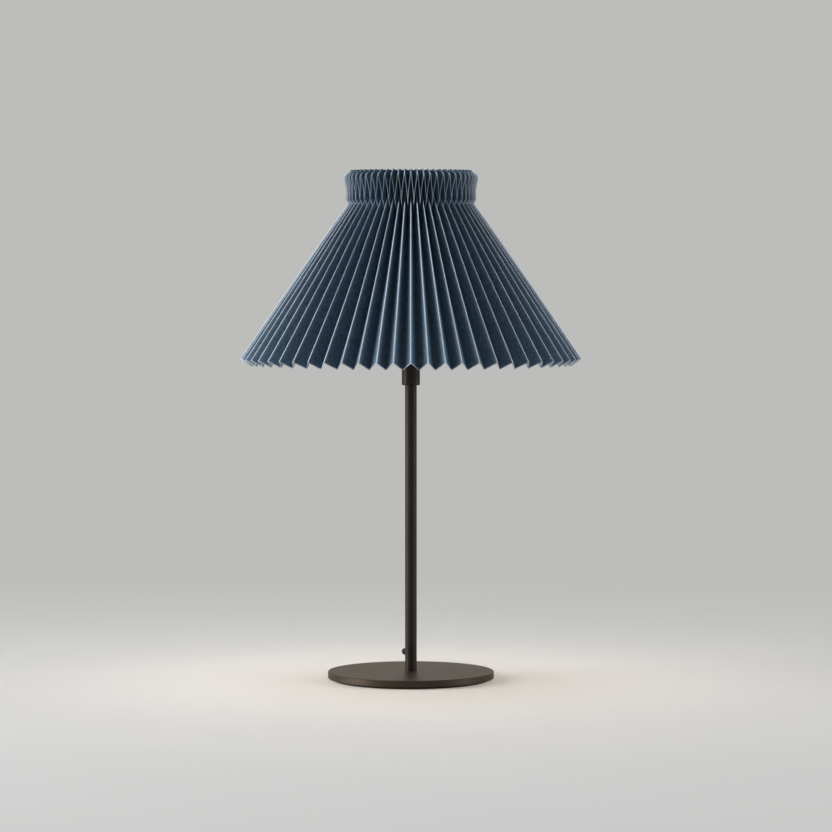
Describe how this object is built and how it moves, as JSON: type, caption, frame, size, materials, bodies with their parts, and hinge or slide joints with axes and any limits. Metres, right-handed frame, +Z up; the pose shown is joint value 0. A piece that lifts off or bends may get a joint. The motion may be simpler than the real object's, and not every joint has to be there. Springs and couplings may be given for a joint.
{
  "type": "pleated paper table lamp",
  "caption": "Table lamp with a conical pleated paper shade and smocked collar on a wire carrier, a slim round stem and a flat disc foot.",
  "frame": {"origin": "centre of the foot's underside, on the table", "axes": "+Z up along the stem, -Y towards the viewer of the picture, +X to that viewer's right"},
  "size_m": [0.3482, 0.3482, 0.521],
  "materials": {
    "bronze": "satin dark bronze powder coat",
    "foot_rubber": "matt",
    "plated_steel": "zinc plated",
    "black_plastic": "matt",
    "bakelite": "moulded black",
    "steatite": "unglazed white",
    "brass": "plain",
    "cable_sheath": "matt black sheath",
    "brown_insulation": "matt",
    "blue_insulation": "matt",
    "white_wire": "white dip coat",
    "blue_paper": "slate blue, matt, paler along the folds",
    "cap_metal": "rolled",
    "solder": "soldered",
    "vitrite": "black",
    "bulb_plastic": "white",
    "opal_glass": "opal, lit warm"
  },
  "bodies": {
    "stand": {"base_disc": "bronze", "base_pad": "foot_rubber", "base_screw": "plated_steel", "base_washer": "plated_steel", "foot_plug": "plated_steel", "stem_tube": "bronze", "cord_gland": "black_plastic", "neck_sleeve": "bronze", "sleeve_set_screw": "plated_steel", "threaded_nipple": "plated_steel", "lampholder_cap": "bakelite", "lampholder_skirt": "bakelite", "terminal_block": "steatite", "terminal_screws": "brass", "screw_shell": "brass", "centre_contact": "brass", "inner_cable": "cable_sheath", "live_core": "brown_insulation", "neutral_core": "blue_insulation"},
    "ring_nut": {"shade_ring_nut": "bakelite"},
    "carrier": {"carrier_hub": "white_wire", "carrier_arm_1": "white_wire", "carrier_arm_2": "white_wire", "carrier_arm_3": "white_wire", "carrier_ring": "white_wire"},
    "shade": {"shade_panel_01": "blue_paper", "shade_panel_02": "blue_paper", "shade_panel_03": "blue_paper", "shade_panel_04": "blue_paper", "shade_panel_05": "blue_paper", "shade_panel_06": "blue_paper", "shade_panel_07": "blue_paper", "shade_panel_08": "blue_paper", "shade_panel_09": "blue_paper", "shade_panel_10": "blue_paper", "shade_panel_11": "blue_paper", "shade_panel_12": "blue_paper"},
    "bulb": {"bulb_tip_contact": "solder", "bulb_insulator": "vitrite", "bulb_screw_cap": "cap_metal", "bulb_neck": "bulb_plastic", "bulb_globe": "opal_glass"}
  },
  "joints": [
    {"name": "carrier_turn", "type": "hinge", "parent": "stand", "child": "carrier", "pos_m": [0, 0, 0.37], "axis": [0, 0, 1], "continuous": true},
    {"name": "shade_lift", "type": "slide", "parent": "carrier", "child": "shade", "axis": [0, 0, 1], "range_m": [0, 0.2]},
    {"name": "ring_nut_turn", "type": "hinge", "parent": "stand", "child": "ring_nut", "pos_m": [0, 0, 0.375], "axis": [0, 0, 1], "range_deg": [0, 1080]},
    {"name": "bulb_withdraw", "type": "slide", "parent": "stand", "child": "bulb", "axis": [0, 0, 1], "range_m": [0, 0.15]}
  ]
}
